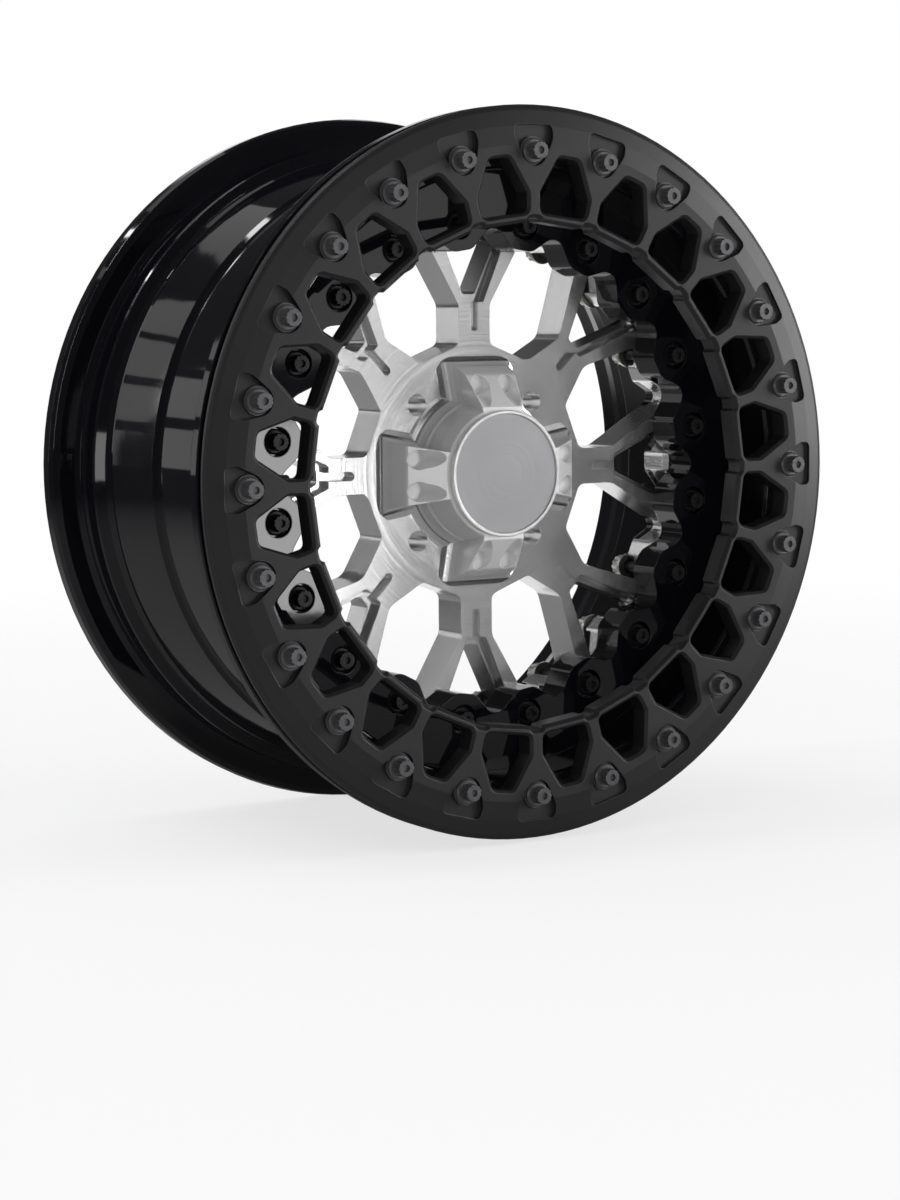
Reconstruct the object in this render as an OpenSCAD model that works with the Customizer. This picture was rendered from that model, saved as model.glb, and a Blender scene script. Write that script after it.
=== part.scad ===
// Forged three-piece beadlock wheel for a side-by-side vehicle.
// The axle line is Y: the beadlock ring faces -Y, the hub sits on the plane Y = 0.
// Every piece is drawn with its axis along Z and the street side up, then turned.

/* [Rim] */
// Diameter of the bead seats
bead_d = 380.2; // [376:0.2:384]
// Distance between the two bead faces
rim_width = 177.8; // [160:0.2:200]
// Distance from the hub face back to the inboard bead face
backspace = 100; // [92:0.5:106]
// Height of the inboard flange above the bead seat
flange_rise = 17.5; // [15:0.5:20]
// Axial thickness of the inboard flange
flange_t = 20; // [16:0.5:24]
// Diameter of the drum between the bead seats
drum_d = 354; // [350:1:358]
// Thickness of the barrel wall
barrel_wall = 5.5; // [4.5:0.1:6.5]
// Height of the safety hump beside the inboard bead seat
hump_rise = 1.6; // [1:0.1:2.4]
// Axial thickness of the outboard clamping lip
lip_t = 8.5; // [7:0.5:10]
// Height of the joint between the two barrel halves above the hub face
joint_h = 14; // [12:0.5:17]

/* [Beadlock ring] */
// Outer diameter of the ring and of the lip behind it
ring_d = 411; // [404:1:418]
// Thickness of the ring
ring_t = 12.7; // [11:0.1:15]
// Distance across the flats of the ring's inner edge
ring_bore_af = 280.4; // [276:0.2:284]
// Number of clamping bolts, pockets and windows
ring_n = 24; // [24]
// Circle of the clamping bolts
ring_pcd = 360; // [357:0.5:362]
// Depth of the pocket around each bolt
pocket_d = 3.8; // [3:0.1:5]
// Width of each pocket at its outer edge
pocket_w = 25.2; // [22:0.2:28]
// Radius from the axle to the outer edge of the windows
window_out_r = 177.2; // [174:0.2:178]
// Radius from the axle to the inner edge of the windows
window_in_r = 145.3; // [144:0.1:148]
// Greatest width of a window
window_w = 32.4; // [29:0.2:34]
// Width of a window at its outer end
window_tip_w = 13.4; // [11:0.2:15]
// Width of the bevel round each window
window_bevel = 1.6; // [1:0.1:2]
// Width of the notches in the ring's inner edge
notch_w = 8.8; // [8:0.2:10]

/* [Clamping fasteners] */
// Thread diameter of all bolts
bolt_d = 8; // [7:0.5:9]
// Diameter of the flange under a bolt head
head_flange_d = 14.3; // [13:0.1:15]
// Diameter of a twelve-point head
head_d = 9.8; // [9:0.1:11]
// Height of a bolt head with its flange
head_h = 8.4; // [7:0.1:9.5]
// Outer diameter of the washers
washer_d = 15.8; // [15:0.1:16.2]
// Thickness of the washers
washer_t = 1.8; // [1.2:0.1:2.4]
// Outer diameter of the threaded inserts
insert_d = 11.6; // [10.5:0.1:12.4]
// Length of the threaded inserts
insert_h = 10; // [8:0.5:10.5]

/* [Wheel centre] */
// Thickness of the centre at the hub and along the spokes
centre_t = 26; // [24:0.5:28]
// Thickness of the centre's bolted edge
edge_t = 19.5; // [17:0.5:21]
// Outer diameter of the centre
centre_d = 330; // [322:1:334]
// Number of lug holes
lug_n = 4; // [4]
// Circle of the lug holes
lug_pcd = 110; // [108:0.5:113]
// Diameter of a lug hole
lug_d = 12.2; // [11:0.1:13]
// Diameter of the hub bore
hub_bore_d = 80; // [76:0.5:82]
// Depth of the hub bore
hub_bore_h = 14; // [10:0.5:18]
// Height of the raised mounting pad behind the spokes
pad_h = 1.2; // [0.6:0.1:2]
// Width of a spoke's stem
stem_w = 21; // [18:0.5:24]
// Depth of the pocket in each fork
fork_d = 6; // [4:0.5:8]
// Width of the slot that runs from the fork to the hub
slot_w = 5; // [4:0.5:6]
// Distance from the axle to the tips of the lobes on the bolted edge
lobe_r = 137.3; // [136:0.1:139]

/* [Hub tower] */
// Height of the cap's seat above the hub face
tower_h = 56; // [53:0.5:59]
// Diameter of the cap's seat
seat_d = 75.2; // [73:0.2:77]
// Diameter of the bore that takes the cap
cap_bore_d = 62; // [58:0.5:64]
// Distance from the axle to the outer edge of the tower's arms
arm_r = 56.3; // [54:0.1:58]
// Drop of an arm's face from the seat to its outer edge
arm_drop = 13.5; // [11:0.5:16]
// Width of an arm at its outer edge
arm_w = 34; // [32:0.5:36]
// Diameter of the two round pockets at the end of an arm
flute_d = 11.2; // [9:0.2:11.4]
// Distance between the two pockets of an arm
flute_gap = 18; // [16:0.1:18.6]

/* [Centre cap] */
// Diameter of the cap
cap_d = 72; // [70:0.5:73]
// Height of the cap's rim above its seat
cap_rim_h = 4; // [3:0.5:5]
// Length of the plug that fills the bore
plug_h = 11; // [9:0.5:13]
// Width of the polished bezel
bezel_w = 2.2; // [1.6:0.1:3]

/* [Barrel joint] */
// Number of assembly bolts
asm_n = 20; // [20]
// Circle of the assembly bolts
asm_pcd = 284; // [282:0.5:286]
// Thickness of the outer barrel's lobed flange
lobe_flange_t = 21; // [18:0.5:23]
// Diameter of the counterbores
cbore_d = 16.4; // [16.2:0.1:17]
// Depth of the counterbores
cbore_h = 4.4; // [3.5:0.1:6]
// Section of the sealing ring
seal_d = 3.5; // [3:0.1:4]
// Height of an assembly nut
nut_h = 8; // [7:0.5:9]

/* [Valve] */
// Diameter of the valve hole
valve_hole_d = 8.4; // [8:0.1:9]
// Length of the valve stem inside the barrel
valve_len = 27; // [24:0.5:30]
// Height of the valve above the lobed flange
valve_up = 13; // [11:0.5:15]
// Place of the valve, anticlockwise from the top as seen from the street side
valve_a = 90; // [90]

/* [Hidden] */

// Facets of large and small rounds
big = 180;
small = 36;
// Slack between pieces that slide together
fit = 0.15;
// Overlap of cutting shapes
eps = 1;

// Heights above the hub face
bead_h = rim_width - backspace;
face_h = bead_h + ring_t;
floor_h = face_h - pocket_d;
edge_h = centre_t - edge_t;
flange_h = centre_t + lobe_flange_t;
heel_h = -backspace;

// Radii
seat_r = bead_d / 2;
root_w = seat_d * 0.36;
drum_r = drum_d / 2;
drum_in_r = drum_r - barrel_wall;
lip_r = ring_d / 2;
register_r = seat_r + 0.4;
edge_r = centre_d / 2;
asm_r = asm_pcd / 2;
ring_r = ring_pcd / 2;
flange_r = seat_r + flange_rise;
seal_mid_r = (edge_r + fit + drum_r) / 2;
pocket_out_r = ring_r + 14.4;
pocket_r = washer_d / 2 + 0.4;

// Valve: wall left under the spot face outside the drum, rubber, bead and height
spot_t = barrel_wall - 0.4;
grommet_t = 1.8;
valve_bead_d = 14;
valve_z = flange_h + valve_up;

// Colours
black_gloss = [0.03, 0.03, 0.035];
grey_satin = [0.2, 0.2, 0.21];
steel_dark = [0.13, 0.13, 0.14];
alloy_bright = [0.72, 0.72, 0.73];
rubber = [0.05, 0.05, 0.05];

// Point at radius r and angle a, measured clockwise from straight up
function at(r, a) = [r * sin(a), r * cos(a)];

// Corner c of the outline p = [[x, y], round], replaced by an arc of its own radius
function unit(v) = v / norm(v);
function arc_points(a, b, c, r, n) =
    let (u = unit(a - b), w = unit(c - b), half = acos(u * w) / 2)
    let (d = r / tan(half), m = b + unit(u + w) * (r / sin(half)))
    let (s = b + u * d - m, e = b + w * d - m)
    let (a0 = atan2(s[1], s[0]), turn = atan2(s[0] * e[1] - s[1] * e[0], s * e))
    [for (i = [0:n]) m + r * [cos(a0 + turn * i / n), sin(a0 + turn * i / n)]];
function rounded(p, n = 5) =
    let (k = len(p))
    [for (i = [0:k - 1])
        for (q = p[i][1] > 0 ? arc_points(p[(i + k - 1) % k][0], p[i][0], p[(i + 1) % k][0],
                                          p[i][1], n) : [p[i][0]]) q];
function mirrored(p) = [for (i = [len(p) - 1:-1:0]) [[-p[i][0][0], p[i][0][1]], p[i][1]]];

// Turns a piece drawn along Z so that its street side faces -Y
module place() {
    rotate([90, 0, 0]) children();
}

// Copies of a child round the axle, the first at angle a0
module around(n, a0 = 0) {
    for (i = [0:n - 1]) rotate(-a0 - i * 360 / n) children();
}

module tube(r_out, r_in, h0, h1) {
    translate([0, 0, h0]) difference() {
        cylinder(r = r_out, h = h1 - h0, $fn = big);
        translate([0, 0, -eps]) cylinder(r = r_in, h = h1 - h0 + 2 * eps, $fn = big);
    }
}

// Round hole from height h0 to h1 at distance r from the axle
module hole(r, d, h0, h1) {
    translate([0, r, h0]) cylinder(d = d, h = h1 - h0, $fn = small);
}

// Beadlock ring

// Satin ring with a conical rim; its step behind clamps the tyre bead
module ring_blank() {
    rotate_extrude($fn = big) polygon([
        [ring_bore_af / 2 - 6, bead_h], [register_r, bead_h], [register_r, bead_h + 5],
        [lip_r, bead_h + 5], [lip_r, face_h - 5.6], [lip_r - 0.8, face_h - 4.4],
        [lip_r - 3, face_h - 3.4], [lip_r - 11.5, face_h - 1.5], [lip_r - 22, face_h],
        [ring_bore_af / 2 - 6, face_h]]);
}

// Corner list p = [[x, y], round] with every side moved outwards by g
function grown(p, g) =
    let (k = len(p))
    [for (i = [0:k - 1])
        let (u = unit(p[i][0] - p[(i + k - 1) % k][0]), w = unit(p[(i + 1) % k][0] - p[i][0]))
        let (m = [-u[1] - w[1], u[0] + w[0]])
        [p[i][0] + m * g / (1 + u * w), p[i][1] > 0 ? p[i][1] + g : 0]];

// Corners of one window: narrow outside, widest at the knee, straight inside
function window_corners() = [
    [[-window_tip_w / 2, window_out_r], 3.8], [[window_tip_w / 2, window_out_r], 3.8],
    [[window_w / 2, window_in_r + 11.2], 3], [[window_w / 2 - 1.4, window_in_r], 3.2],
    [[-window_w / 2 + 1.4, window_in_r], 3.2], [[-window_w / 2, window_in_r + 11.2], 3]];

// Recess for one bolt: round about the bolt, flaring out to a straight edge
function pocket_outline() = [
    [[-pocket_w / 2, pocket_out_r], 3.2], [[pocket_w / 2, pocket_out_r], 3.2],
    [[pocket_w / 2, pocket_out_r - 7.2], 4], [[pocket_r * 0.93, ring_r - 3.2], 1],
    [[-pocket_r * 0.93, ring_r - 3.2], 1], [[-pocket_w / 2, pocket_out_r - 7.2], 4]];

// Corners of the ring's inner edge: a flat below each window, a small notch below each bolt
function inner_edge_corners() =
    let (flat_r = ring_bore_af / 2 / cos(180 / ring_n) - notch_w / 2 * tan(180 / ring_n))
    [for (i = [0:ring_n - 1]) for (q = [
        [-notch_w / 2, flat_r, 0], [-notch_w / 2 + 1.3, flat_r + 2.3, 2.4],
        [notch_w / 2 - 1.3, flat_r + 2.3, 2.4], [notch_w / 2, flat_r, 0]])
        [at(norm([q[0], q[1]]), i * 360 / ring_n + atan2(q[0], q[1])), q[2]]];

// Solid between outline p0 at height h0 and the like outline p1 at height h1
module bevelled(p0, p1, h0, h1) {
    n = len(p0);
    polyhedron(
        points = concat([for (p = p0) [p[0], p[1], h0]], [for (p = p1) [p[0], p[1], h1]]),
        faces = concat([[for (i = [0:n - 1]) n - 1 - i]], [[for (i = [0:n - 1]) n + i]],
            [for (i = [0:n - 1]) [i, (i + 1) % n, n + (i + 1) % n, n + i]]));
}

// Opening through the ring with a bevel of width w round its front edge
module bevelled_opening(p, w, n) {
    low = 0.4;
    translate([0, 0, bead_h - eps]) linear_extrude(ring_t + 2 * eps) polygon(rounded(p, n));
    bevelled(rounded(grown(p, -low), n), rounded(grown(p, w + low), n), face_h - w - low,
             face_h + low);
}

module beadlock_ring() {
    color(grey_satin) place() difference() {
        ring_blank();
        translate([0, 0, bead_h - eps]) linear_extrude(ring_t + 2 * eps)
            polygon(rounded(inner_edge_corners(), 3));
        around(ring_n, 180 / ring_n) bevelled_opening(window_corners(), window_bevel, 3);
        around(ring_n) {
            translate([0, 0, floor_h]) linear_extrude(pocket_d + eps) {
                polygon(rounded(pocket_outline()));
                translate([0, ring_r]) circle(r = pocket_r, $fn = small);
            }
            hole(ring_r, bolt_d + 0.6, bead_h - eps, floor_h + eps);
        }
    }
}

// Fasteners

// Twelve-point flanged bolt, head up, standing on height 0
module bolt(len) {
    rotate_extrude($fn = small) polygon([
        [0, 0], [head_flange_d / 2, 0], [head_flange_d / 2, 1.2], [head_flange_d / 2 - 1, 2.1],
        [0, 2.1]]);
    difference() {
        union() {
            for (a = [0, 30]) rotate(a)
                translate([0, 0, 2]) cylinder(d = head_d, h = head_h - 2, $fn = 6);
        }
        translate([0, 0, head_h - 1.6]) cylinder(d = head_d * 0.42, h = 1.6 + eps, $fn = small);
    }
    translate([0, 0, -len]) cylinder(d = bolt_d - 0.1, h = len + 0.5, $fn = small);
}

module washer(d, t) {
    difference() {
        cylinder(d = d, h = t, $fn = small);
        translate([0, 0, -eps]) cylinder(d = bolt_d + 0.5, h = t + 2 * eps, $fn = small);
    }
}

module beadlock_bolts() {
    color(steel_dark) place() around(ring_n)
        translate([0, ring_r, floor_h + washer_t]) bolt(floor_h + washer_t - bead_h + insert_h - 1);
}

module beadlock_washers() {
    color(steel_dark) place() around(ring_n)
        translate([0, ring_r, floor_h]) washer(washer_d, washer_t);
}

module thread_inserts() {
    color("silver") place() around(ring_n) translate([0, ring_r, bead_h - insert_h])
        difference() {
            cylinder(d = insert_d, h = insert_h, $fn = small);
            translate([0, 0, -eps]) cylinder(d = bolt_d, h = insert_h + 2 * eps, $fn = small);
        }
}

// Barrels

// Inner edge of the lobed flange: a nose round each bolt, a hollow between two
function lobe_edge() =
    [for (i = [0:asm_n - 1]) let (p = 360 / asm_n, a = p * (i + 0.5)) each [
        [at(asm_r - 14.4, a - p * 0.16), 8], [at(asm_r - 14.4, a + p * 0.16), 8],
        [at(asm_r + 0.6, a + p / 2), 8]]];

// Outboard half: lip, tapped rim, drum and the lobed flange
module outer_barrel() {
    color(black_gloss) place() difference() {
        union() {
            rotate_extrude($fn = big) polygon([
                [edge_r + fit, joint_h], [drum_r, joint_h], [drum_r, bead_h - 22],
                [drum_r + 2, bead_h - 18], [seat_r - 2, bead_h - lip_t - 3],
                [seat_r + 2, bead_h - lip_t], [lip_r - 1.6, bead_h - lip_t],
                [lip_r, bead_h - lip_t + 1.6], [lip_r, bead_h - 0.8], [lip_r - 0.8, bead_h],
                [drum_in_r + 1.5, bead_h], [drum_in_r, bead_h - 1.5], [drum_in_r, flange_h],
                [edge_r + fit, flange_h]]);
            translate([0, 0, centre_t]) linear_extrude(lobe_flange_t) difference() {
                circle(r = drum_in_r + 1, $fn = big);
                polygon(rounded(lobe_edge()));
            }
        }
        around(ring_n) hole(ring_r, insert_d, bead_h - insert_h, bead_h + eps);
        around(ring_n) hole(ring_r, bolt_d, bead_h - insert_h - 1, bead_h);
        around(asm_n, 180 / asm_n) {
            hole(asm_r, cbore_d, flange_h - cbore_h, flange_h + eps);
            hole(asm_r, bolt_d + 0.4, centre_t - eps, flange_h);
        }
        rotate(valve_a) translate([0, 0, valve_z]) rotate([-90, 0, 0]) {
            translate([0, 0, drum_in_r - 4]) cylinder(d = valve_hole_d, h = 20, $fn = small);
            translate([0, 0, drum_in_r + spot_t]) cylinder(d = valve_bead_d + 1.4, h = 12, $fn = small);
        }
    }
}

// Inboard half: bolted flange, drum that widens to the bead seat, hump and flange
module inner_barrel() {
    hump_h = heel_h + 18;
    color(black_gloss) place() difference() {
        rotate_extrude($fn = big) polygon([
            [edge_r + fit, edge_h], [edge_r + fit, joint_h], [drum_r, joint_h],
            [drum_r, heel_h + 78], [drum_r + 1, heel_h + 75], [drum_r + 3, heel_h + 72],
            [seat_r - 5.6, heel_h + 28], [seat_r - 4, hump_h + 5],
            [seat_r + hump_rise - 0.4, hump_h + 2], [seat_r + hump_rise, hump_h],
            [seat_r + hump_rise - 0.6, hump_h - 2.4], [seat_r - 0.9, hump_h - 5],
            [seat_r, heel_h + 5], [seat_r + 1.6, heel_h + 1.4], [seat_r + 4.6, heel_h],
            [flange_r - 4, heel_h - 1.2], [flange_r - 1, heel_h - 4], [flange_r, heel_h - 8],
            [flange_r - 0.6, heel_h - flange_t + 3.4], [flange_r - 3.4, heel_h - flange_t],
            [seat_r + 1.6, heel_h - flange_t], [seat_r + 0.8, heel_h - flange_t + 1],
            [seat_r - 1, heel_h - 4], [seat_r - 4, heel_h + 6],
            [seat_r - 6, hump_h], [drum_in_r + 7, heel_h + 26], [drum_in_r + 3, heel_h + 72],
            [drum_in_r, heel_h + 80], [drum_in_r, -5], [drum_in_r - 5, 0], [lobe_r + 0.9, 0],
            [lobe_r + 0.9, edge_h]]);
        translate([0, 0, -eps]) linear_extrude(edge_h + 2 * eps) spoke_openings();
        around(asm_n, 180 / asm_n) hole(asm_r, bolt_d + 0.4, -eps, edge_h + eps);
        tube(seal_mid_r + seal_d / 2 + 0.1, seal_mid_r - seal_d / 2 - 0.1, joint_h - seal_d - 0.05,
             joint_h + eps);
    }
}
module barrel_seal() {
    color(rubber) place() translate([0, 0, joint_h - seal_d / 2 - 0.03])
        rotate_extrude($fn = big) translate([seal_mid_r, 0]) circle(d = seal_d, $fn = small);
}

// Wheel centre

pad_r = 70;
fork_r = 97;
notch_r = lobe_r + 11.7;

// Opening between an upright spoke and the slanted one clockwise of it
function wide_opening() = [
    [[stem_w / 2, 72.4], 5], [[stem_w / 2, fork_r - 1.5], 8], [at(notch_r, 15.2), 4.2],
    [at(lobe_r - 0.4, 20.6), 4.5], [at(lobe_r - 0.4, 24.4), 4.5], [at(notch_r, 29.8), 4.2],
    [[stem_w / 2 + 48, 75.5], 9], [[36, 62.5], 4]];

// Three-cornered opening inside a fork
function fork_opening() = [
    [[-4, fork_r + 4.5], 2.5], [[4, fork_r + 4.5], 2.5], [at(notch_r, 9.7), 3.4],
    [at(notch_r - 1, 6.6), 3.4], [at(lobe_r - 0.4, 1.9), 4.5], [at(lobe_r - 0.4, -1.9), 4.5],
    [at(notch_r - 1, -6.6), 3.4], [at(notch_r, -9.7), 3.4]];

// Pocket round the fork opening, sunk from the face
function fork_pocket() = [
    [[-6.4, fork_r], 1.6], [[6.4, fork_r], 1.6], [at(notch_r - 10, 9.7), 2],
    [at(notch_r - 10, -9.7), 2]];

module spoke_openings() {
    around(4) {
        polygon(rounded(wide_opening()));
        polygon(rounded(mirrored(wide_opening())));
    }
    around(8) polygon(rounded(fork_opening()));
}

// Everything on the inner side of one side wall of an arm, with the cove at the wall's foot
module arm_side() {
    lean = atan((arm_w / 2 - root_w / 2) / (arm_r - seat_d / 2));
    translate([arm_w / 2, arm_r, 0]) rotate(-lean) translate([0, 25, 0]) rotate([90, 0, 0])
        linear_extrude(75) polygon([
            [-60, centre_t - 2], [8.5, centre_t - 2], [8.5, centre_t], [5.2, centre_t + 0.7],
            [2.6, centre_t + 2.5], [0.8, centre_t + 5.3], [0, centre_t + 9.6], [0, tower_h + 1],
            [-60, tower_h + 1]]);
}

// One arm of the tower: its side profile between the two side walls
module tower_arm() {
    edge_face_h = tower_h - arm_drop;
    foot_r = arm_r + 9.8;
    intersection() {
        translate([0, 0, centre_t - 2]) linear_extrude(tower_h) polygon(rounded([
            [[-arm_w * 0.8, 24], 0.5], [[-arm_w * 0.8, foot_r], 13],
            [[arm_w * 0.8, foot_r], 13], [[arm_w * 0.8, 24], 0.5]], 6));
        rotate([90, 0, 90]) translate([0, 0, -arm_w]) linear_extrude(2 * arm_w) polygon([
            [24, centre_t - 2], [24, tower_h], [seat_d / 2, tower_h], [arm_r - 1, edge_face_h + 0.7],
            [arm_r, edge_face_h - 0.6], [arm_r + 4, centre_t + 8], [arm_r + 4.8, centre_t + 5],
            [arm_r + 6, centre_t + 2.6], [arm_r + 7.6, centre_t + 0.9], [foot_r, centre_t],
            [foot_r, centre_t - 2]]);
        arm_side();
        mirror([1, 0, 0]) arm_side();
    }
}

// Turned core of the tower with a ring groove between the arms
module tower_core() {
    rotate_extrude($fn = big) polygon([
        [24, centre_t - 2], [24, tower_h], [seat_d / 2 - 0.6, tower_h], [seat_d / 2, tower_h - 0.6],
        [seat_d / 2 + 2, tower_h - 8], [seat_d / 2 + 3.6, centre_t + 13],
        [seat_d / 2 + 3.6, centre_t + 12.4], [seat_d / 2 + 2, centre_t + 12.2],
        [seat_d / 2 + 2, centre_t + 9.2], [seat_d / 2 + 4.2, centre_t + 9],
        [seat_d / 2 + 4.6, centre_t + 6.4], [seat_d / 2 + 5.6, centre_t + 3.6],
        [seat_d / 2 + 7.4, centre_t + 1.4], [seat_d / 2 + 10, centre_t + 0.3],
        [seat_d / 2 + 12, centre_t], [seat_d / 2 + 12, centre_t - 2]]);
}

// Round pocket near the end of an arm with a ramp that runs out towards the cap
module flute(side) {
    pocket_at = arm_r - flute_d / 2 - 0.6;
    floor_z = tower_h - arm_drop - 2.2;
    translate([side * flute_gap / 2, pocket_at, 0]) {
        translate([0, 0, floor_z]) cylinder(d = flute_d, h = 20, $fn = small);
        translate([0, 0, floor_z + 4]) rotate([30, 0, side * 8]) translate([0, 0, -1])
            cylinder(d = flute_d - 1.2, h = 34, $fn = small);
    }
}

// Turned blank of the wheel: hub pad, spoke zone and the stepped edge
module centre_blank() {
    rotate_extrude($fn = big) polygon([
        [20, 0], [pad_r - pad_h, 0], [pad_r, pad_h], [lobe_r + 0.6, pad_h], [lobe_r + 0.6, edge_h],
        [edge_r, edge_h], [edge_r, centre_t], [lobe_r + 6.6, centre_t],
        [lobe_r + 0.3, centre_t - 7], [lobe_r + 0.3, centre_t], [20, centre_t]]);
}

module wheel_center() {
    lug_r = lug_pcd / 2;
    color(alloy_bright) place() difference() {
        union() {
            difference() {
                centre_blank();
                translate([0, 0, -eps]) linear_extrude(centre_t + 2 * eps) spoke_openings();
                around(8) translate([0, 0, centre_t - fork_d]) linear_extrude(fork_d + eps) {
                    polygon(rounded(fork_pocket()));
                    translate([-slot_w / 2, fork_r - 14]) square([slot_w, 18]);
                    translate([0, fork_r - 14]) circle(d = slot_w, $fn = small);
                }
            }
            tower_core();
            around(4) tower_arm();
        }
        around(4) {
            flute(1);
            flute(-1);
        }
        around(lug_n, 45) hole(lug_r, lug_d, -eps, centre_t + 9);
        translate([0, 0, -eps]) cylinder(d = hub_bore_d, h = hub_bore_h + eps, $fn = big);
        cylinder(d = cap_bore_d, h = tower_h + eps, $fn = big);
        around(asm_n, 180 / asm_n) hole(asm_r, bolt_d + 0.4, edge_h - eps, centre_t + eps);
    }
}

// Joint fasteners

module assembly_bolts() {
    color(steel_dark) place() around(asm_n, 180 / asm_n)
        translate([0, asm_r, flange_h - cbore_h]) bolt(flange_h - cbore_h + washer_t + nut_h + 1);
}

module assembly_washers() {
    color("silver") place() around(asm_n, 180 / asm_n)
        translate([0, asm_r, -washer_t]) washer(washer_d, washer_t);
}

module assembly_nuts() {
    color("silver") place() around(asm_n, 180 / asm_n)
        translate([0, asm_r, -washer_t - nut_h]) difference() {
            union() {
                translate([0, 0, nut_h - 2]) cylinder(d = head_flange_d, h = 2, $fn = small);
                for (a = [0, 30]) rotate(a) cylinder(d = head_flange_d - 1.4, h = nut_h - 1, $fn = 6);
            }
            translate([0, 0, -eps]) cylinder(d = bolt_d, h = nut_h + 2 * eps, $fn = small);
        }
}

// Centre cap

// Hollow turned plug with a rim that sits on the tower
module cap_body() {
    r = cap_bore_d / 2 - fit;
    color(alloy_bright) place() translate([0, 0, tower_h]) rotate_extrude($fn = big) polygon([
        [0, -1], [r - 4, -1], [r - 4, -plug_h], [r - 0.8, -plug_h], [r, -plug_h + 0.8],
        [r, -plug_h + 3.4], [r - 2.4, -plug_h + 3.4], [r - 2.4, -plug_h + 6.2], [r, -plug_h + 6.2],
        [r, 0], [cap_d / 2 - 0.8, 0], [cap_d / 2, 0.8], [cap_d / 2, cap_rim_h - 1.6],
        [cap_d / 2 - bezel_w, cap_rim_h - 1.6], [cap_d / 2 - bezel_w, cap_rim_h - 2.6],
        [0, cap_rim_h - 2.6]]);
}

// Polished ring that holds the face disc
module cap_bezel() {
    r = cap_d / 2;
    color([0.9, 0.9, 0.9]) place() translate([0, 0, tower_h + cap_rim_h]) rotate_extrude($fn = big)
        polygon([[r - bezel_w, -1.6], [r, -1.6], [r, -0.5], [r - 0.5, 0], [r - bezel_w + 0.4, 0],
                 [r - bezel_w, -0.4]]);
}

module cap_face() {
    color([0.55, 0.55, 0.56]) place() translate([0, 0, tower_h + cap_rim_h - 2.6])
        cylinder(r = cap_d / 2 - bezel_w - 0.05, h = 1.8, $fn = big);
}

module cap_seal() {
    color(rubber) place() translate([0, 0, tower_h - plug_h + 4.8]) rotate_extrude($fn = big)
        translate([cap_bore_d / 2 - 1.3, 0]) circle(r = 1.2, $fn = small);
}

// Valve: a clamp-in stem in the outboard drum

// Puts a piece of the valve on the drum's inner face; local Z runs towards the axle
module valve_place() {
    place() rotate(valve_a) translate([0, drum_in_r, valve_z]) rotate([90, 0, 0]) children();
}

// Stem with its bead outside the drum
module valve_body() {
    head = spot_t + grommet_t;
    color("gray") valve_place() difference() {
        union() {
            translate([0, 0, -head - 3.2]) cylinder(d = valve_bead_d, h = 3.2, $fn = small);
            translate([0, 0, -head - 1]) cylinder(d = valve_hole_d - 0.8, h = head + 1 + valve_len - 8,
                                                  $fn = small);
            translate([0, 0, valve_len - 8.5]) cylinder(d = 7.4, h = 8.5, $fn = small);
        }
        translate([0, 0, -head - 4]) cylinder(d = 2.6, h = head + valve_len + 8, $fn = small);
    }
}

module valve_grommet() {
    color(rubber) valve_place() difference() {
        translate([0, 0, -spot_t - grommet_t]) cylinder(d = valve_bead_d, h = grommet_t, $fn = small);
        translate([0, 0, -spot_t - 4]) cylinder(d = valve_hole_d - 0.7, h = 6, $fn = small);
    }
}

module valve_washer() {
    color("silver") valve_place() translate([0, 0, 0.5]) difference() {
        cylinder(d = 14, h = 1.2, $fn = small);
        translate([0, 0, -eps]) cylinder(d = valve_hole_d, h = 4, $fn = small);
    }
}

module valve_nut() {
    color("silver") valve_place() translate([0, 0, 1.7]) difference() {
        cylinder(d = 13.2, h = 4.6, $fn = 6);
        translate([0, 0, -eps]) cylinder(d = valve_hole_d - 0.7, h = 8, $fn = small);
    }
}

module valve_cap() {
    color(rubber) valve_place() translate([0, 0, valve_len - 6.5]) difference() {
        cylinder(d = 10, h = 9, $fn = small);
        translate([0, 0, -eps]) cylinder(d = 7.7, h = 7.5 + eps, $fn = small);
    }
}

beadlock_ring();
beadlock_bolts();
beadlock_washers();
thread_inserts();
outer_barrel();
inner_barrel();
barrel_seal();
wheel_center();
assembly_bolts();
assembly_washers();
assembly_nuts();
cap_body();
cap_bezel();
cap_face();
cap_seal();
valve_body();
valve_grommet();
valve_washer();
valve_nut();
valve_cap();
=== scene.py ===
"""Looks of the beadlock wheel: finishes, the ring's bevel, floor, light and camera."""

import logging
import math
from dataclasses import dataclass
from enum import Enum
from typing import Mapping, Optional, Sequence, Union

import bpy
from mathutils import Matrix, Quaternion, Vector

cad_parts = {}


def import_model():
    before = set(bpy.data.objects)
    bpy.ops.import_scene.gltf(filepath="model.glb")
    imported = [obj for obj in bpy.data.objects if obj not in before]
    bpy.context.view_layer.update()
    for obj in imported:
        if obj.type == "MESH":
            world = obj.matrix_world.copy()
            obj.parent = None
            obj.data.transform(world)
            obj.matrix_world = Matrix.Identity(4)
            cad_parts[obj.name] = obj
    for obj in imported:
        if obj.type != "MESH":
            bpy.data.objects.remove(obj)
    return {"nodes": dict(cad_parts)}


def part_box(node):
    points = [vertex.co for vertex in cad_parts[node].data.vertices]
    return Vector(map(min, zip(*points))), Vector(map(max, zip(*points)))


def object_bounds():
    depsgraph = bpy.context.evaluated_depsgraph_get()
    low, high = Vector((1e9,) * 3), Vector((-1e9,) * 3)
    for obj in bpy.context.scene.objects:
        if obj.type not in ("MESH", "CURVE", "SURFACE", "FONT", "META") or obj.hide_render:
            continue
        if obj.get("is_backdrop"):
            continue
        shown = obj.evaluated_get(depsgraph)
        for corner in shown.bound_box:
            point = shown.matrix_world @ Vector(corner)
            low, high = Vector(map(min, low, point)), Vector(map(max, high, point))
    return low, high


LOG = logging.getLogger("wheel")
Triple = tuple[float, float, float]

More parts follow.
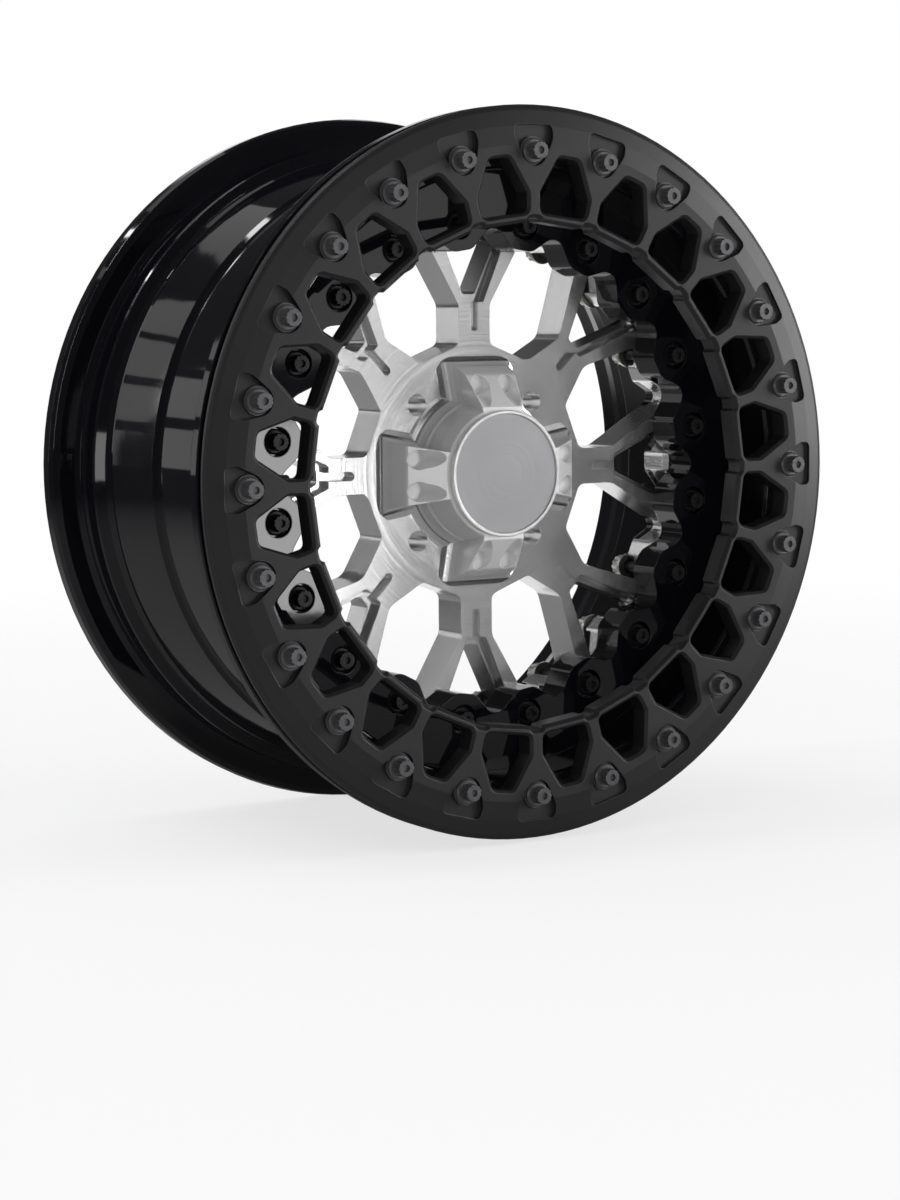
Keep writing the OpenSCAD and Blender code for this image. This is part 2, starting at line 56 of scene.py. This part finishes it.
MM = 0.001
# The hub tower's satin look starts at this y and is full one fade farther out.
TOWER_FOOT = -27 * MM
TOWER_FADE = 2 * MM
FLOOR_GAP = 0.2 * MM
WHITE = (1.0, 1.0, 1.0, 1.0)
PALE_GREY = (0.8, 0.8, 0.8, 1.0)

# Sockets of the Mix node, whose names several of its sockets share.
MIX_FACTOR = 0
MIX_FIRST_COLOUR = 6
MIX_SECOND_COLOUR = 7
MIX_COLOUR = 2


class Slot(Enum):
    """Material slots of the record."""

    RING_COATING = "ring_coating"
    GLOSS_BLACK = "gloss_black"
    MACHINED_ALLOY = "machined_alloy"
    BRUSHED_ALLOY = "brushed_alloy"
    POLISHED_ALLOY = "polished_alloy"
    DARK_STEEL = "dark_steel"
    PLAIN_STEEL = "plain_steel"
    SEAL_RUBBER = "seal_rubber"


class Value:
    """A socket of a node tree. Arithmetic on it adds Math nodes."""

    def __init__(self, sheet: "Sheet", socket: bpy.types.NodeSocket) -> None:
        """Keeps the socket and the sheet it is on."""
        self.sheet = sheet
        self.socket = socket

    def __add__(self, other: "Operand") -> "Value":
        """Sum."""
        return self.sheet.maths("ADD", self, other)

    def __radd__(self, other: "Operand") -> "Value":
        """Sum, with the number on the left."""
        return self.sheet.maths("ADD", other, self)

    def __sub__(self, other: "Operand") -> "Value":
        """Difference."""
        return self.sheet.maths("SUBTRACT", self, other)

    def __rsub__(self, other: "Operand") -> "Value":
        """Difference, with the number on the left."""
        return self.sheet.maths("SUBTRACT", other, self)

    def __mul__(self, other: "Operand") -> "Value":
        """Product."""
        return self.sheet.maths("MULTIPLY", self, other)

    def __rmul__(self, other: "Operand") -> "Value":
        """Product, with the number on the left."""
        return self.sheet.maths("MULTIPLY", other, self)

    def __truediv__(self, other: "Operand") -> "Value":
        """Quotient."""
        return self.sheet.maths("DIVIDE", self, other)

    def __rtruediv__(self, other: "Operand") -> "Value":
        """Quotient, with the number on the left."""
        return self.sheet.maths("DIVIDE", other, self)


Operand = Union[Value, int, float]
Feed = Union[Value, float, Sequence[float]]


class Sheet:
    """The nodes of one material or of the world."""

    def __init__(self, tree: bpy.types.NodeTree) -> None:
        """Empties the tree."""
        tree.nodes.clear()
        self.tree = tree

    def add(self, kind: str, settings: Optional[Mapping[str, object]] = None,
            feeds: Optional[Mapping[Union[str, int], Feed]] = None) -> bpy.types.Node:
        """Adds a node, with its settings made before its sockets are fed.

        Args:
            kind: type of the node.
            settings: the node's own settings.
            feeds: value or link of each socket, by name or number.

        Returns:
            The new node.
        """
        node = self.tree.nodes.new(kind)
        for name, value in (settings or {}).items():
            setattr(node, name, value)
        for key, value in (feeds or {}).items():
            if isinstance(value, Value):
                self.tree.links.new(value.socket, node.inputs[key])
            else:
                node.inputs[key].default_value = value
        return node

    def value(self, kind: str, settings: Optional[Mapping[str, object]] = None,
              feeds: Optional[Mapping[Union[str, int], Feed]] = None,
              out: Union[str, int] = 0) -> Value:
        """Adds a node and wraps one of its outputs.

        Args:
            kind: type of the node.
            settings: the node's own settings.
            feeds: value or link of each socket, by name or number.
            out: name or number of the output.

        Returns:
            The output.
        """
        return Value(self, self.add(kind, settings, feeds).outputs[out])

    def maths(self, operation: str, *values: Operand) -> Value:
        """Math node on one to three values."""
        feeds = dict(enumerate(values))
        return self.value("ShaderNodeMath", {"operation": operation}, feeds)

    def span(self, value: Operand, low: float, high: float, to_low: float = 0.0,
             to_high: float = 1.0) -> Value:
        """Smooth step of a value. The step goes downwards where low is above high.

        Args:
            value: what is measured.
            low: where the step begins.
            high: where it ends.
            to_low: result at low.
            to_high: result at high.

        Returns:
            The stepped value.
        """
        return self.value("ShaderNodeMapRange", {"interpolation_type": "SMOOTHSTEP"},
                          {0: value, 1: low, 2: high, 3: to_low, 4: to_high})

    def vector(self, operation: str, *values: Feed,
               out: Union[str, int] = "Vector") -> Value:
        """Vector Math node. A scale goes to its own socket.

        Args:
            operation: what the node works out.
            values: one or two vectors, or a vector and its scale.
            out: the output, "Value" where the result is a number.

        Returns:
            The output.
        """
        feeds = dict(enumerate(values))
        if operation == "SCALE":
            feeds = {0: values[0], "Scale": values[1]}
        return self.value("ShaderNodeVectorMath", {"operation": operation}, feeds, out)

    def place(self) -> Value:
        """Position on the piece, in metres."""
        return self.value("ShaderNodeTexCoord", out="Object")

    def parts(self, vector: Value) -> list[Value]:
        """The three numbers of a vector."""
        node = self.add("ShaderNodeSeparateXYZ", None, {0: vector})
        return [Value(self, output) for output in node.outputs]

    def join(self, x: Operand, y: Operand, z: Operand) -> Value:
        """Vector of three numbers."""
        return self.value("ShaderNodeCombineXYZ", None, {0: x, 1: y, 2: z})

    def noise(self, where: Value, scale: float, detail: float,
              rough: float = 0.5) -> Value:
        """Noise about 0.5.

        Args:
            where: position that is looked up.
            scale: waves per metre.
            detail: how many finer layers are added.
            rough: strength of each finer layer.

        Returns:
            The noise, from 0 to 1.
        """
        return self.value("ShaderNodeTexNoise", {"noise_dimensions": "3D"},
                          {"Vector": where, "Scale": scale, "Detail": detail,
                           "Roughness": rough})

    def tint(self, factor: Operand, first: Feed, second: Feed) -> Value:
        """Colour between two colours.

        Args:
            factor: share of the second colour.
            first: colour at 0, as an output or three numbers.
            second: colour at 1, as an output or three numbers.

        Returns:
            The mixed colour.
        """
        first, second = [colour if isinstance(colour, Value) else (*colour, 1.0)
                         for colour in (first, second)]
        feeds = {MIX_FACTOR: factor, MIX_FIRST_COLOUR: first, MIX_SECOND_COLOUR: second}
        return self.value("ShaderNodeMix", {"data_type": "RGBA"}, feeds, MIX_COLOUR)

    def soft_edge(self, radius: float) -> Value:
        """Normal that rolls over every edge within a radius."""
        return self.value("ShaderNodeBevel", {"samples": 4}, {"Radius": radius})

    def edge_wear_and_sheen(self, normal: Value, begins: float, full: float) -> Value:
        """Mask of the edges, where the softened normal leaves the flat one: edge wear on
        the oxide steel, a painted edge highlight on the satin coat.

        Args:
            normal: normal with the edges softened.
            begins: cosine of the angle at which the mask begins.
            full: cosine of the angle at which it is full.

        Returns:
            The mask, 1 on the edges.
        """
        flat = self.value("ShaderNodeNewGeometry", out="Normal")
        likeness = self.vector("DOT_PRODUCT", normal, flat, out="Value")
        return self.span(likeness, begins, full)

    def bump(self, height: Value, depth: float, normal: Value, strength: float) -> Value:
        """Normal disturbed by a height of 0 to 1, in metres of depth."""
        return self.value("ShaderNodeBump", None,
                          {"Strength": strength, "Distance": depth, "Height": height,
                           "Normal": normal})


def shade(colour: Triple, factor: float) -> Triple:
    """Colour made darker or lighter by a factor."""
    return colour[0] * factor, colour[1] * factor, colour[2] * factor


@dataclass(frozen=True)
class Finish:
    """Common ground of all finishes: a principled shader with a soft edge.

    Attributes:
        slot: the record's material slot.
        colour: mean base colour.
        roughness: mean roughness.
        edge: radius of the edge rounds, in metres.
        grade: tells apart two finishes of one slot.
    """

    slot: Slot
    colour: Triple
    roughness: float
    edge: float
    grade: str = ""

    def constants(self) -> dict[str, float]:
        """Numbers set on the shader's own sockets."""
        return {}

    def feeds(self, sheet: Sheet, place: Value, normal: Value) -> dict[str, Value]:
        """What changes over the surface.

        Args:
            sheet: where nodes are added.
            place: position on the piece.
            normal: normal with the edges softened.

        Returns:
            The links of the shader's sockets.
        """
        return {"Normal": normal}

    def material(self) -> bpy.types.Material:
        """Makes the material, or gives back the one already made."""
        name = self.slot.value + "_finish" + self.grade
        made = bpy.data.materials.get(name)
        if made:
            return made
        made = bpy.data.materials.new(name)
        made.use_nodes = True
        sheet = Sheet(made.node_tree)
        shader = sheet.add("ShaderNodeBsdfPrincipled", None, {
            "Base Color": (*self.colour, 1.0), "Roughness": self.roughness,
            **self.constants()})
        links = self.feeds(sheet, sheet.place(), sheet.soft_edge(self.edge))
        for socket, link in links.items():
            sheet.tree.links.new(link.socket, shader.inputs[socket])
        surface = Value(sheet, shader.outputs["BSDF"])
        sheet.add("ShaderNodeOutputMaterial", None, {"Surface": surface})
        return made

    def dress(self, piece: bpy.types.Object) -> None:
        """Puts the finish on a piece."""
        piece.data.materials.clear()
        piece.data.materials.append(self.material())


@dataclass(frozen=True)
class SatinCoat(Finish):
    """Satin powder coat with a fine orange peel and edges lightened as a painted
    highlight.
    """

    def constants(self) -> dict[str, float]:
        """A plastic-like coat with a moderate shine."""
        return {"Specular IOR Level": 0.45}

    def feeds(self, sheet: Sheet, place: Value, normal: Value) -> dict[str, Value]:
        """Cloudy colour, uneven shine, and a painted highlight that lightens the edges."""
        cloud = sheet.noise(place, scale=22.0, detail=3.0)
        grain = sheet.noise(place, scale=1400.0, detail=2.0)
        # Edge mask for a painted highlight along the coat's bevels.
        edge = sheet.edge_wear_and_sheen(normal, begins=0.995, full=0.9)
        coat = sheet.tint(0.5 * cloud + 0.5 * grain, shade(self.colour, 0.78),
                          shade(self.colour, 1.3))
        return {
            # Painted highlight: the edges are tinted towards a coat colour five times
            # lighter.
            "Base Color": sheet.tint(0.8 * edge, coat, shade(self.colour, 5.0)),
            "Roughness": self.roughness + 0.12 * (cloud - 0.5) + 0.08 * (grain - 0.5),
            "Normal": sheet.bump(grain, depth=0.02 * MM, normal=normal, strength=0.5),
        }


@dataclass(frozen=True)
class GlossLacquer(Finish):
    """Deep gloss lacquer with a long, faint orange peel."""

    def feeds(self, sheet: Sheet, place: Value, normal: Value) -> dict[str, Value]:
        """Faint haze in the shine and a soft ripple in the surface."""
        haze = sheet.noise(place, scale=35.0, detail=3.0)
        ripple = sheet.noise(place, scale=240.0, detail=1.0)
        return {
            "Base Color": sheet.tint(haze, shade(self.colour, 0.8),
                                     shade(self.colour, 1.25)),
            "Roughness": self.roughness * (0.7 + 0.6 * haze),
            "Normal": sheet.bump(ripple, depth=0.01 * MM, normal=normal, strength=0.35),
        }


@dataclass(frozen=True)
class MachinedMetal(Finish):
    """Bare alloy with tool marks: rings on the faces, passes on the walls.

    Attributes:
        metal: how metallic it is under its thin film of haze.
        pitch: tool marks per metre of radius.
        tilt: how far a mark tilts the normal.
    """

    metal: float = 0.97
    pitch: float = 5200.0
    tilt: float = 0.06

    def constants(self) -> dict[str, float]:
        """The same metal all over."""
        return {"Metallic": self.metal}

    def feeds(self, sheet: Sheet, place: Value, normal: Value) -> dict[str, Value]:
        """Marks that tilt the normal along the radius and along the axle."""
        x, y, z = sheet.parts(place)
        radius = sheet.maths("SQRT", x * x + z * z)
        outward = sheet.join(x / radius, 0.0, z / radius)
        along = sheet.join(radius, y, 0.0)
        marks = sheet.noise(along, scale=self.pitch, detail=2.0, rough=0.6)
        broad = sheet.noise(along, scale=self.pitch / 9, detail=1.0)
        cloud = sheet.noise(place, scale=30.0, detail=3.0)
        tilt = (marks - 0.5) * self.tilt * 2 + (broad - 0.5) * self.tilt
        across = sheet.vector("SCALE", outward, tilt)
        axial = sheet.vector("SCALE", (0.0, 1.0, 0.0), tilt * 0.6)
        turned = sheet.vector("ADD", sheet.vector("ADD", normal, across), axial)
        return {
            "Base Color": sheet.tint(0.5 * cloud + 0.5 * marks, shade(self.colour, 0.86),
                                     shade(self.colour, 1.12)),
            "Roughness": self.roughness + 0.1 * (marks - 0.5) + 0.08 * (cloud - 0.5),
            "Normal": sheet.vector("NORMALIZE", turned),
        }


@dataclass(frozen=True)
class HubMetal(MachinedMetal):
    """Machined alloy that is satin on the hub tower.

    Attributes:
        satin: how much less metallic the tower is than the turned faces.
        dull: how much rougher the tower is.
    """

    satin: float = 0.6
    dull: float = 0.14

    def feeds(self, sheet: Sheet, place: Value, normal: Value) -> dict[str, Value]:
        """Tool marks, with a mask of the tower in the shine."""
        links = super().feeds(sheet, place, normal)
        _, y, _ = sheet.parts(place)
        tower = sheet.span(y, TOWER_FOOT, TOWER_FOOT - TOWER_FADE)
        return {
            **links,
            "Metallic": self.metal - self.satin * tower,
            "Roughness": links["Roughness"] + self.dull * tower,
        }


@dataclass(frozen=True)
class PlatedSteel(Finish):
    """Zinc plated steel with a faint warm and cold play of colour."""

    def constants(self) -> dict[str, float]:
        """Bare metal."""
        return {"Metallic": 1.0}

    def feeds(self, sheet: Sheet, place: Value, normal: Value) -> dict[str, Value]:
        """Patches of colour and a fine grain."""
        patch = sheet.noise(place, scale=160.0, detail=2.0)
        grain = sheet.noise(place, scale=2200.0, detail=2.0)
        warm = (self.colour[0] * 1.06, self.colour[1] * 1.02, self.colour[2] * 0.9)
        return {
            "Base Color": sheet.tint(patch, warm, shade(self.colour, 0.95)),
            "Roughness": self.roughness + 0.2 * (grain - 0.5),
            "Normal": sheet.bump(grain, depth=0.01 * MM, normal=normal, strength=0.5),
        }


@dataclass(frozen=True)
class BlackOxide(Finish):
    """Dark satin steel whose edges show a little bare metal."""

    def constants(self) -> dict[str, float]:
        """Partly metal, as a thin black layer on steel looks."""
        return {"Metallic": 0.65}

    def feeds(self, sheet: Sheet, place: Value, normal: Value) -> dict[str, Value]:
        """Mottled black, lighter on the edges."""
        mottle = sheet.noise(place, scale=420.0, detail=3.0)
        edge = sheet.edge_wear_and_sheen(normal, begins=0.99, full=0.8)
        return {
            "Base Color": sheet.tint(0.4 * mottle + 0.6 * edge, shade(self.colour, 0.7),
                                     shade(self.colour, 1.9)),
            "Roughness": self.roughness + 0.22 * (mottle - 0.5),
            "Normal": sheet.bump(mottle, depth=0.02 * MM, normal=normal, strength=0.4),
        }


@dataclass(frozen=True)
class Rubber(Finish):
    """Matte black rubber with a fine moulded grain."""

    def feeds(self, sheet: Sheet, place: Value, normal: Value) -> dict[str, Value]:
        """Dull bloom and grain."""
        bloom = sheet.noise(place, scale=90.0, detail=3.0)
        grain = sheet.noise(place, scale=1800.0, detail=2.0)
        return {
            "Base Color": sheet.tint(bloom, shade(self.colour, 0.7),
                                     shade(self.colour, 1.8)),
            "Roughness": self.roughness + 0.15 * (bloom - 0.5),
            "Normal": sheet.bump(grain, depth=0.03 * MM, normal=normal, strength=0.6),
        }


RING_COAT = SatinCoat(Slot.RING_COATING, colour=(0.011, 0.011, 0.012),
                      roughness=0.4, edge=0.7 * MM)
BLACK_LACQUER = GlossLacquer(Slot.GLOSS_BLACK, colour=(0.003, 0.003, 0.0045),
                             roughness=0.045, edge=0.7 * MM)
BARE_ALLOY = HubMetal(Slot.MACHINED_ALLOY, colour=(0.8, 0.8, 0.8),
                      roughness=0.2, edge=0.5 * MM)
TURNED_FACE = MachinedMetal(Slot.BRUSHED_ALLOY, colour=(0.4, 0.4, 0.41),
                            roughness=0.38, edge=0.2 * MM)
MIRROR_ALLOY = MachinedMetal(Slot.POLISHED_ALLOY, colour=(0.9, 0.9, 0.9),
                             roughness=0.28, edge=0.2 * MM, metal=0.62, tilt=0.02)
DARK_STEEL = BlackOxide(Slot.DARK_STEEL, colour=(0.12, 0.12, 0.125),
                        roughness=0.34, edge=0.2 * MM)
BLACK_STEEL = BlackOxide(Slot.DARK_STEEL, colour=(0.022, 0.022, 0.024),
                         roughness=0.3, edge=0.4 * MM, grade="_recessed")
ZINC = PlatedSteel(Slot.PLAIN_STEEL, colour=(0.55, 0.55, 0.56),
                   roughness=0.34, edge=0.3 * MM)
BLACK_RUBBER = Rubber(Slot.SEAL_RUBBER, colour=(0.02, 0.02, 0.02),
                      roughness=0.72, edge=0.3 * MM)


@dataclass
class Part:
    """A CAD node and the finish it gets.

    Attributes:
        node: name of the CAD node.
        finish: its finish.
    """

    node: str
    finish: Finish

    def dress(self, nodes: Mapping[str, bpy.types.Object]) -> bpy.types.Object:
        """Puts the finish on the node.

        Args:
            nodes: the CAD nodes by name.

        Returns:
            The dressed object.
        """
        piece = nodes[self.node]
        self.finish.dress(piece)
        LOG.info("%s dressed with %s", self.node, self.finish.slot.value)
        return piece


@dataclass
class ClampRing:
    """The windowed clamping ring, with a broad front bevel on its inner edge.

    Attributes:
        part: the CAD node and its finish.
        edge_reach: largest distance from the axle of the inner edge's corners.
        bevel: width of the bevel.
        flatness: how far from the front plane a corner of the edge may lie.
        weld_reach: distance within which the edge's corners are joined.
    """

    part: Part
    edge_reach: float = 144 * MM
    bevel: float = 2.1 * MM
    flatness: float = 0.01 * MM
    weld_reach: float = 0.002 * MM

    def build(self, nodes: Mapping[str, bpy.types.Object]) -> None:
        """Dresses the ring and bevels its inner edge.

        Args:
            nodes: the CAD nodes by name.
        """
        ring = self.part.dress(nodes)
        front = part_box(self.part.node)[0].y
        rim = ring.vertex_groups.new(name="inner_front_edge")
        on_edge = [corner.index for corner in ring.data.vertices
                   if abs(corner.co.y - front) < self.flatness
                   and math.hypot(corner.co.x, corner.co.z) < self.edge_reach]
        rim.add(on_edge, 1.0, "REPLACE")
        weld = ring.modifiers.new("join_faces", "WELD")
        weld.merge_threshold = self.weld_reach
        weld.vertex_group = rim.name
        cut = ring.modifiers.new("inner_bevel", "BEVEL")
        cut.limit_method = "VGROUP"
        cut.vertex_group = rim.name
        cut.width = self.bevel
        cut.segments = 1
        cut.offset_type = "OFFSET"
        cut.harden_normals = False
        LOG.info("%s: bevel on %d corners", self.part.node, len(on_edge))


@dataclass
class Dressed:
    """A sub-assembly whose CAD nodes keep their shape and only get their finishes.

    Attributes:
        name: what the sub-assembly is.
        parts: its nodes and finishes.
    """

    name: str
    parts: tuple[Part, ...]

    def build(self, nodes: Mapping[str, bpy.types.Object]) -> None:
        """Dresses every node.

        Args:
            nodes: the CAD nodes by name.
        """
        for part in self.parts:
            part.dress(nodes)
        LOG.info("%s: %d pieces", self.name, len(self.parts))


def link_object(name: str, data: bpy.types.ID) -> bpy.types.Object:
    """Makes an object of a mesh, a lamp or a camera and links it to the scene."""
    made = bpy.data.objects.new(name, data)
    bpy.context.scene.collection.objects.link(made)
    return made


@dataclass
class Panel:
    """A soft lamp panel aimed at the wheel.

    Attributes:
        name: name of the lamp.
        spot: where it stands, in metres.
        width: its width.
        height: its height.
        glow: its radiance, where 1 is white.
        lean: how far it leans sideways, in degrees.
    """

    name: str
    spot: Triple
    width: float
    height: float
    glow: float
    lean: float = 0.0

    def build(self) -> None:
        """Makes the lamp."""
        lamp = bpy.data.lights.new(self.name, "AREA")
        lamp.shape = "RECTANGLE"
        lamp.size = self.width
        lamp.size_y = self.height
        lamp.energy = self.glow * math.pi * self.width * self.height
        stand = link_object(self.name, lamp)
        stand.location = self.spot
        aim = (-Vector(self.spot)).to_track_quat("-Z", "Y")
        lean = Quaternion((0.0, 0.0, 1.0), math.radians(self.lean))
        stand.rotation_euler = (aim @ lean).to_euler()
        LOG.info("%s: %.1f W", self.name, lamp.energy)


def window_panes(rows: int = 5, lowest: float = 0.1,
                 pitch: float = 0.4) -> tuple[Panel, ...]:
    """Dim panes one over the other, whose gaps show as a window's bars in gloss.

    Args:
        rows: how many panes there are.
        lowest: height of the lowest pane's middle, in metres.
        pitch: distance between the middles of two panes.

    Returns:
        The panes, from the lowest to the highest.
    """
    return tuple(Panel("window_pane_%d" % row, (-1.3, 2.05, lowest + pitch * row),
                       width=0.6, height=0.31, glow=0.65) for row in range(rows))


@dataclass
class Studio:
    """Floor, surroundings and lamps.

    Attributes:
        floor: height of the floor.
        towards: direction from the wheel to the lit white backdrop.
        cone: cosines between which the room turns into the backdrop.
        room: level of the room beside and in front of the backdrop.
        ambient: level at which the surroundings light the wheel.
        floor_reach: half the floor's side, in metres.
        floor_fade: distances between which the floor fades into the backdrop.
        panels: the lamps, each with its name, spot, width, height, glow and lean.
    """

    floor: float
    towards: Triple = (0.52, 0.854, 0.0)
    cone: tuple[float, float] = (0.9, 0.955)
    room: float = 0.05
    ambient: float = 0.7
    floor_reach: float = 14.0
    floor_fade: tuple[float, float] = (0.5, 1.6)
    panels: tuple[Panel, ...] = (
        Panel("key_panel", (2.23, -1.29, 0.36), 1.2, 1.2, 8.0),
        Panel("front_panel", (1.12, -2.25, 0.42), 0.55, 0.84, 1.0),
        Panel("front_strip", (0.43, -1.1, -0.11), 0.085, 0.185, 8.0),
        Panel("fill_panel", (0.0, -2.8, 0.85), 1.2, 0.8, 0.8),
        Panel("camera_panel", (-1.72, -1.95, -0.02), 0.6, 0.5, 3.2),
        *window_panes(),
        Panel("leaning_strip", (-1.17, 1.545, 0.82), 0.05, 2.31, 12.0, 16.6),
        Panel("left_arc_strip", (-2.2, 0.3, 0.95), 0.1, 1.8, 8.0),
        Panel("back_top_panel", (-0.2, 1.75, 1.85), 0.9, 0.9, 0.5),
        Panel("upper_left_strip", (-1.0, 0.3, 2.2), 0.16, 1.6, 14.0),
    )

    def build(self) -> None:
        """Makes the surroundings, the floor and the lamps."""
        self._surround()
        self._lay_floor()
        for panel in self.panels:
            panel.build()

    def _backdrop(self, sheet: Sheet, bearing: Value) -> tuple[Value, Value]:
        """What is seen of the backdrop, and by which rays.

        Args:
            sheet: where nodes are added.
            bearing: direction of length 1 from the wheel.

        Returns:
            The backdrop's level, which is white for rays of the camera and inside the
            cone for the others, and a mask of the rays that see it: those of the
            camera, of gloss and of clear matter.
        """
        path = sheet.add("ShaderNodeLightPath")
        camera, gloss, clear = [Value(sheet, path.outputs["Is %s Ray" % kind])
                                for kind in ("Camera", "Glossy", "Transmission")]
        ahead = sheet.vector("DOT_PRODUCT", bearing, self.towards, out="Value")
        lit = sheet.span(ahead, *self.cone, to_low=self.room)
        seen = sheet.maths("MAXIMUM", camera, sheet.maths("MAXIMUM", gloss, clear))
        return sheet.maths("MAXIMUM", camera, lit), seen

    def _surround(self) -> None:
        """White backdrop far behind the wheel, a dimmer room elsewhere."""
        world = bpy.data.worlds.new("studio")
        bpy.context.scene.world = world
        world.use_nodes = True
        sheet = Sheet(world.node_tree)
        direction = sheet.value("ShaderNodeTexCoord", out="Generated")
        level, seen = self._backdrop(sheet, direction)
        strength = self.ambient + seen * (level - self.ambient)
        glow = sheet.value("ShaderNodeBackground", None,
                           {"Color": WHITE, "Strength": strength})
        sheet.add("ShaderNodeOutputWorld", None, {"Surface": glow})

    def _lay_floor(self) -> None:
        """Pale floor that keeps the shadow and fades into the backdrop."""
        reach = self.floor_reach
        mesh = bpy.data.meshes.new("floor")
        corners = [(x, y, 0.0) for x, y in
                   ((-reach, -reach), (reach, -reach), (reach, reach), (-reach, reach))]
        mesh.from_pydata(corners, [], [(0, 1, 2, 3)])
        floor = link_object("floor", mesh)
        floor.location.z = self.floor
        paint = bpy.data.materials.new("pale_floor")
        paint.use_nodes = True
        sheet = Sheet(paint.node_tree)
        place = sheet.place()
        level, seen = self._backdrop(sheet, sheet.vector("NORMALIZE", place))
        distance = sheet.vector("LENGTH", place, out="Value")
        far = sheet.span(distance, *self.floor_fade, to_low=0.7)
        matte = sheet.value("ShaderNodeBsdfDiffuse", None, {"Color": PALE_GREY})
        glow = sheet.value("ShaderNodeEmission", None,
                           {"Color": WHITE, "Strength": level})
        mixed = sheet.value("ShaderNodeMixShader", None,
                            {0: seen * far, 1: matte, 2: glow})
        sheet.add("ShaderNodeOutputMaterial", None, {"Surface": mixed})
        mesh.materials.append(paint)
        floor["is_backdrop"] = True
        LOG.info("floor at z %.4f m", self.floor)


@dataclass
class PhotoCamera:
    """The camera at the photograph's place.

    Attributes:
        spot: where it stands, in metres.
        ahead: where it looks.
        up: its upward direction.
        focal_px: focal length in pixels of the 900 by 1200 image.
        long_side: the image's long side in pixels.
        sensor: the sensor's long side in millimetres.
        clip: nearest and farthest distance that it sees, in metres.
    """

    spot: Triple = (-0.89347, -1.45235, 0.10259)
    ahead: Triple = (0.52028, 0.84754, -0.10486)
    up: Triple = (0.0620, 0.0850, 0.9945)
    focal_px: float = 2918.95
    long_side: float = 1200.0
    sensor: float = 36.0
    clip: tuple[float, float] = (0.01, 100.0)

    def build(self) -> None:
        """Makes the camera and gives it to the scene."""
        data = bpy.data.cameras.new("photo_camera")
        data.sensor_width = self.sensor
        data.lens = self.focal_px * self.sensor / self.long_side
        data.clip_start, data.clip_end = self.clip
        camera = link_object("photo_camera", data)
        ahead = Vector(self.ahead).normalized()
        side = ahead.cross(Vector(self.up)).normalized()
        above = side.cross(ahead)
        turn = Matrix((side, above, -ahead)).transposed().to_4x4()
        camera.matrix_world = Matrix.Translation(self.spot) @ turn
        bpy.context.scene.camera = camera
        LOG.info("camera: %.1f mm lens", data.lens)


SUB_ASSEMBLIES = (
    ClampRing(Part("beadlock_ring", RING_COAT)),
    Dressed("clamping fasteners", (
        Part("beadlock_bolts", DARK_STEEL),
        Part("beadlock_washers", DARK_STEEL),
        Part("thread_inserts", ZINC),
    )),
    Dressed("barrels", (
        Part("outer_barrel", BLACK_LACQUER),
        Part("inner_barrel", BLACK_LACQUER),
        Part("barrel_seal", BLACK_RUBBER),
    )),
    Dressed("wheel centre", (Part("wheel_center", BARE_ALLOY),)),
    Dressed("joint fasteners", (
        Part("assembly_bolts", BLACK_STEEL),
        Part("assembly_washers", ZINC),
        Part("assembly_nuts", ZINC),
    )),
    Dressed("centre cap", (
        Part("cap_body", BARE_ALLOY),
        Part("cap_bezel", MIRROR_ALLOY),
        Part("cap_face", TURNED_FACE),
        Part("cap_seal", BLACK_RUBBER),
    )),
    Dressed("valve", (
        Part("valve_body", ZINC),
        Part("valve_grommet", BLACK_RUBBER),
        Part("valve_washer", ZINC),
        Part("valve_nut", ZINC),
        Part("valve_cap", BLACK_RUBBER),
    )),
)


def main() -> None:
    """Loads the frame and builds everything on it."""
    logging.basicConfig(level=logging.INFO, format="%(name)s: %(message)s")
    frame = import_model()
    cad_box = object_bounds()
    PhotoCamera().build()
    for sub_assembly in SUB_ASSEMBLIES:
        sub_assembly.build(frame["nodes"])
    Studio(floor=cad_box[0].z - FLOOR_GAP).build()
    scene = bpy.context.scene
    scene.view_settings.view_transform = "Standard"


if __name__ == "__main__":
    main()
